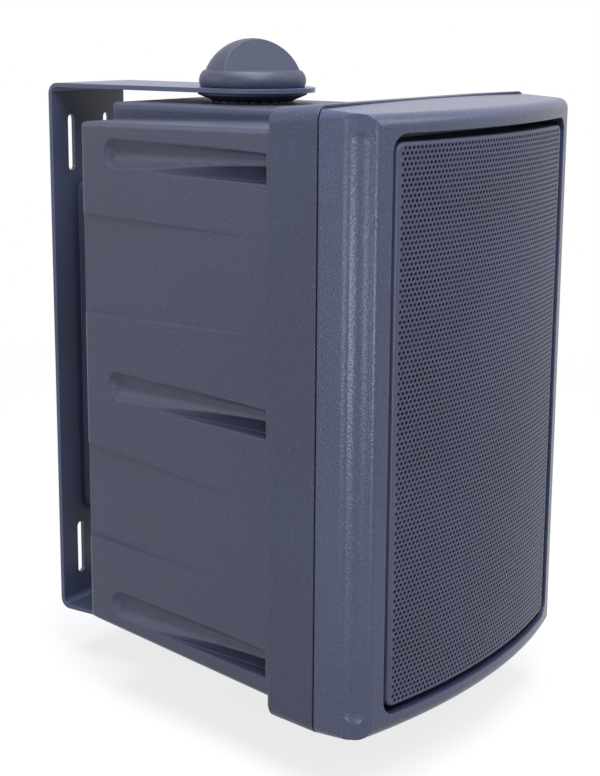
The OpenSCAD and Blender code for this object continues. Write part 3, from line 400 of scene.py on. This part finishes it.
def perforatedTree():  # a flat field of holes in rows, every other row moved by half a pitch
    tree = bpy.data.node_groups.new("perforated field", "GeometryNodeTree")
    sizes = ("Width", "Height", "Corner", "Pitch", "Hole Across", "Plain Edge")
    for name in sizes:
        tree.interface.new_socket(name=name, in_out="INPUT", socket_type="NodeSocketFloat")
    tree.interface.new_socket(name="Material", in_out="INPUT", socket_type="NodeSocketMaterial")
    tree.interface.new_socket(name="Geometry", in_out="OUTPUT", socket_type="NodeSocketGeometry")
    b = Bench(tree)
    group = b.add("NodeGroupInput")
    asked = {socket.name: Wire(b, socket) for socket in group.socket.node.outputs if socket.name}
    pitch, across = asked["Pitch"], asked["Hole Across"]
    side = across * (1 / math.sqrt(3))
    toCentre = pitch * (1 / math.sqrt(3))  # from a hole to the middle of three holes

    rowGap = pitch * math.cos(math.radians(30))
    spare = 3  # a middle hole, and one more at each end
    columns = (asked["Width"] / pitch * 0.5).math("CEIL") * 2 + spare
    rows = (asked["Height"] / rowGap * 0.5).math("CEIL") * 2 + spare
    points = b.add("GeometryNodeMeshGrid", None, [(columns - 1) * pitch, (rows - 1) * rowGap, columns, rows])
    x, z, _ = b.split(b.add("GeometryNodeInputPosition"))
    oddRow = (z / rowGap).math("ROUND").math("FLOORED_MODULO", 2.0)
    halfStep = b.join(oddRow * pitch * 0.5, 0.0, 0.0)
    points = b.add("GeometryNodeSetPosition", None, {"Geometry": points, "Offset": halfStep})

    def laid(shape, away, degrees, turn=0.0):
        angle = math.radians(degrees)
        inputs = {"Geometry": shape, "Rotation": (0.0, 0.0, angle + math.radians(turn))}
        if away:
            inputs["Translation"] = b.join(away * math.cos(angle), away * math.sin(angle), 0.0)
        return b.add("GeometryNodeTransform", None, inputs)

    # three strips and two triangles of steel belong to each hole, and a plug where it would meet the edge
    strip = b.add("GeometryNodeMeshGrid", None, [pitch - across, side, 2, 2])
    wedge = b.add("GeometryNodeMeshCircle", {"fill_type": "NGON"}, [3, toCentre - side])
    plug = b.add("GeometryNodeMeshCircle", {"fill_type": "NGON"}, [6, side])
    strips = tuple(laid(strip, pitch * 0.5, degrees) for degrees in (0, 60, 120))
    wedges = tuple(laid(wedge, toCentre, degrees, 180) for degrees in (30, 90))
    web = b.add("GeometryNodeJoinGeometry", None, [strips + wedges])
    overX = x.math("ABSOLUTE") - (asked["Width"] * 0.5 - asked["Corner"])
    overZ = z.math("ABSOLUTE") - (asked["Height"] * 0.5 - asked["Corner"])
    past = b.join(overX.math("MAXIMUM", 0.0), overZ.math("MAXIMUM", 0.0), 0.0)
    away = b.vector("LENGTH", past, output="Value")
    toOutline = away + overX.math("MAXIMUM", overZ).math("MINIMUM", 0.0) - asked["Corner"]
    atEdge = toOutline > (side + asked["Plain Edge"]) * -1
    webs = b.add("GeometryNodeInstanceOnPoints", None, {"Points": points, "Instance": web})
    plugged = {"Points": points, "Selection": atEdge, "Instance": laid(plug, None, 30)}
    plugs = b.add("GeometryNodeInstanceOnPoints", None, plugged)
    field = b.add("GeometryNodeJoinGeometry", None, [(webs, plugs)])
    field = b.add("GeometryNodeRealizeInstances", None, [field])
    field = b.add("GeometryNodeMergeByDistance", None, {"Geometry": field, "Distance": grilleSheet["weld"]})
    field = b.add("GeometryNodeSetMaterial", None, {"Geometry": field, "Material": asked["Material"]})
    b.add("NodeGroupOutput", None, [field])
    return tree


def emptyObject(name):
    made = bpy.data.objects.new(name, bpy.data.meshes.new(name))
    bpy.context.scene.collection.objects.link(made)
    return made


def grown(name, tree, values):  # runs a tree on an empty object and keeps the plain mesh
    carrier = emptyObject(name)
    modifier = carrier.modifiers.new("grow", "NODES")
    modifier.node_group = tree
    for item in tree.interface.items_tree:
        if item.in_out == "INPUT":
            modifier[item.identifier] = values[item.name]
    carrier.update_tag()
    ready = carrier.evaluated_get(bpy.context.evaluated_depsgraph_get())
    mesh = bpy.data.meshes.new_from_object(ready)
    carrier.modifiers.clear()
    carrier.data = mesh
    mesh.name = name
    return carrier


def applied(piece):
    ready = piece.evaluated_get(bpy.context.evaluated_depsgraph_get())
    mesh = bpy.data.meshes.new_from_object(ready)
    piece.modifiers.clear()
    piece.data = mesh


grilleLow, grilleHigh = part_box("grille")
grilleSize = grilleHigh - grilleLow
flatHalfX = grilleSize.x / 2 - grilleSheet["fold"]
flatHalfZ = grilleSize.z / 2 - grilleSheet["fold"]
flatCorner = grilleSheet["corner"] - grilleSheet["fold"]


def outwards(x, z):  # from the middle of the nearest corner's arc, or straight out of a side
    overX = abs(x) - (flatHalfX - flatCorner)
    overZ = abs(z) - (flatHalfZ - flatCorner)
    return Vector((math.copysign(max(overX, 0.0), x), math.copysign(max(overZ, 0.0), z)))


def trimmed(skin):  # cuts the field to a rectangle with round corners
    steps = grilleSheet["cornerSteps"]
    quarter = [math.pi / 2 * step / steps for step in range(steps + 1)]
    for sideX in (-1, 1):
        for sideZ in (-1, 1):
            for angle in quarter:
                way = Vector((sideX * math.cos(angle), sideZ * math.sin(angle), 0))
                middle = Vector((sideX * (flatHalfX - flatCorner), sideZ * (flatHalfZ - flatCorner), 0))
                everything = skin.verts[:] + skin.edges[:] + skin.faces[:]
                bmesh.ops.bisect_plane(
                    skin,
                    geom=everything,
                    dist=nearly / 10,
                    plane_co=middle + way * flatCorner,
                    plane_no=way,
                    clear_outer=True,
                )


def folded(skin):  # turns the outer edge back through a quarter circle, then straight to the baffle
    fold, steps = grilleSheet["fold"], grilleSheet["foldSteps"]

    def atOutline(vert):
        return outwards(*vert.co.xy).length > flatCorner - nearly

    onOutline = [edge for edge in skin.edges if edge.is_boundary and all(map(atOutline, edge.verts))]
    for step in range(1, steps + 2):
        drawn = bmesh.ops.extrude_edge_only(skin, edges=onOutline)["geom"]
        onOutline = [item for item in drawn if isinstance(item, bmesh.types.BMEdge)]
        last, now = (math.radians(90 * min(k, steps) / steps) for k in (step - 1, step))
        for vert in (item for item in drawn if isinstance(item, bmesh.types.BMVert)):
            out = outwards(*vert.co.xy).normalized() * fold * (math.sin(now) - math.sin(last))
            vert.co.xy = vert.co.xy + out
            vert.co.z = fold * (1 - math.cos(now)) if step <= steps else atBaffle


def bowed(skin):  # until now z holds the depth behind the face
    axisY = grilleLow.y + grilleSheet["bowRadius"]
    for vert in skin.verts:
        x, z, depth = vert.co
        face = axisY - math.sqrt(grilleSheet["bowRadius"] ** 2 - x * x)
        vert.co = (x, grilleHigh.y if depth == atBaffle else face + depth, z)


pitch = grilleSheet["pitch"]
sheet = grown("grille_sheet", perforatedTree(), {
    "Width": flatHalfX * 2,
    "Height": flatHalfZ * 2,
    "Corner": flatCorner,
    "Pitch": pitch,
    "Hole Across": pitch * grilleSheet["holeShare"],
    "Plain Edge": grilleSheet["plainEdge"],
    "Material": finishes["grille_paint"],
})
skin = bmesh.new()
skin.from_mesh(sheet.data)
trimmed(skin)
folded(skin)
bowed(skin)
bmesh.ops.recalc_face_normals(skin, faces=skin.faces)
facing = sum((face.normal * face.calc_area() for face in skin.faces), Vector())
if facing.y > 0:  # an open sheet may come out inside out
    bmesh.ops.reverse_faces(skin, faces=skin.faces)
skin.to_mesh(sheet.data)
skin.free()
thick = sheet.modifiers.new("steel", "SOLIDIFY")
thick.thickness = grilleSheet["steel"]
thick.offset = -1.0
applied(sheet)
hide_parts("grille")
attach(sheet, "cabinet")
print("grille:", sum(len(face.vertices) - 2 for face in sheet.data.polygons), "triangles")


# studio

studio = {
    "cameraPlace": (-0.60194, -0.52747, 0.1566),
    "yaw": -56.11,
    "pitch": 12.59,
    "roll": 0.38,
    "focalPixels": 1658.56,
    "pictureHeight": 776,  # in pixels
    "sensor": 36.0,  # the camera's own millimetres
    "nearest": 0.01,
    "farthest": 100.0,
    "floorZ": -0.150,
    "floorReach": 30.0,
    "floorColour": (0.90, 0.90, 0.91, 1.0),
    "floorBounce": (0.10, 0.10, 0.11, 1.0),  # its colour for the light that it throws back
    "floorGlow": 0.78,  # share of plain white in the floor beside the part
    "glowFrom": 0.15,  # distance from the part's middle at which the white starts to grow
    "glowFull": 0.9,
    "skyLevel": 0.28,
    "skyColour": (0.93, 0.96, 1.0, 1.0),
}
lamps = {  # place, aim, width, height, watts, colour
    "overhead": ((-0.15, -0.20, 1.30), (0.0, -0.12, 0.0), 1.2, 1.2, 24.0, (0.92, 0.95, 1.0)),
    "window": ((-0.44, -0.58, 0.66), (0.0, -0.16, 0.08), 0.36, 0.36, 4.4, (0.95, 0.97, 1.0)),
    "frontFill": ((0.80, -1.30, 0.90), (0.0, -0.15, 0.05), 0.8, 0.8, 4.5, (1.0, 0.99, 0.97)),
    "leftStrip": ((-0.78, -0.06, -0.05), (-0.08, -0.20, 0.06), 0.10, 0.18, 0.70, (0.95, 0.97, 1.0)),
    "frontStrip": ((-0.56, -0.64, -0.06), (-0.08, -0.20, 0.06), 0.10, 0.16, 1.0, (0.95, 0.97, 1.0)),
    "backStrip": ((-0.60, 0.75, 0.35), (-0.06, -0.10, 0.0), 0.30, 0.50, 1.5, (0.95, 0.97, 1.0)),
}


def cameraFrame(v):
    yaw, pitch, roll = (math.radians(v[key]) for key in ("yaw", "pitch", "roll"))
    ahead = Vector((-math.sin(yaw) * math.cos(pitch), math.cos(yaw) * math.cos(pitch), -math.sin(pitch)))
    level = ahead.cross(Vector((0, 0, 1))).normalized()
    upright = level.cross(ahead)
    right = math.cos(roll) * level + math.sin(roll) * upright
    up = math.cos(roll) * upright - math.sin(roll) * level
    turn = Matrix((right, up, -ahead)).transposed().to_4x4()
    return Matrix.Translation(v["cameraPlace"]) @ turn


eye = bpy.data.objects.new("camera", bpy.data.cameras.new("camera"))
bpy.context.scene.collection.objects.link(eye)
eye.matrix_world = cameraFrame(studio)
eye.data.sensor_width = studio["sensor"]
eye.data.lens = studio["focalPixels"] / studio["pictureHeight"] * studio["sensor"]
eye.data.clip_start = studio["nearest"]
eye.data.clip_end = studio["farthest"]
bpy.context.scene.camera = eye
bpy.context.scene.view_settings.view_transform = "Standard"

for name, (place, aim, width, height, watts, colour) in lamps.items():
    lamp = bpy.data.lights.new(name, "AREA")
    lamp.shape = "ELLIPSE"
    lamp.size = width
    lamp.size_y = height
    lamp.energy = watts
    lamp.color = colour
    holder = bpy.data.objects.new(name, lamp)
    bpy.context.scene.collection.objects.link(holder)
    holder.location = place
    holder.visible_camera = False
    holder.rotation_euler = (Vector(aim) - Vector(place)).to_track_quat("-Z", "Y").to_euler()


def seenDirectly(bench):  # 1 for camera, glossy and transmission rays
    rays = bench.add("ShaderNodeLightPath")
    glossy = bench.also(rays, "Is Glossy Ray")
    through = bench.also(rays, "Is Transmission Ray")
    return rays.math("MAXIMUM", glossy).math("MAXIMUM", through)


world = bpy.data.worlds.new("studio")
world.use_nodes = True
bpy.context.scene.world = world
world.node_tree.nodes.clear()
sky = Bench(world.node_tree)
seen = seenDirectly(sky)
lit = sky.add("ShaderNodeBackground", None, {"Color": studio["skyColour"], "Strength": studio["skyLevel"]})
white = sky.add("ShaderNodeBackground", None, {"Color": (1, 1, 1, 1), "Strength": 1.0})
sky.add("ShaderNodeOutputWorld", None, [sky.add("ShaderNodeMixShader", None, [seen, lit, white])])

floorPaint = bpy.data.materials.new("floor")
floorPaint.use_nodes = True
floorPaint.node_tree.nodes.clear()
ground = Bench(floorPaint.node_tree)
shown = seenDirectly(ground)
tint = ground.blend(shown, studio["floorBounce"], studio["floorColour"])
matt = ground.add("ShaderNodeBsdfDiffuse", None, {"Color": tint})
glow = ground.add("ShaderNodeEmission", None, {"Color": (1, 1, 1, 1), "Strength": 1.0})
spot = ground.add("ShaderNodeTexCoord", output="Object")
fromPart = ground.vector("LENGTH", spot, output="Value")
whiteness = fromPart.ramp(studio["glowFrom"], studio["glowFull"], studio["floorGlow"], 1.0)
mixed = ground.add("ShaderNodeMixShader", None, [shown * whiteness, matt, glow])
ground.add("ShaderNodeOutputMaterial", None, [mixed])
floor = emptyObject("floor")
reach = studio["floorReach"]
corners = [(-reach, -reach, 0), (reach, -reach, 0), (reach, reach, 0), (-reach, reach, 0)]
floor.data.from_pydata(corners, [], [(0, 1, 2, 3)])
floor.data.transform(Matrix.Translation((0, 0, studio["floorZ"])))
floor.data.materials.append(floorPaint)
print("studio: camera, floor and", len(lamps), "lamps")
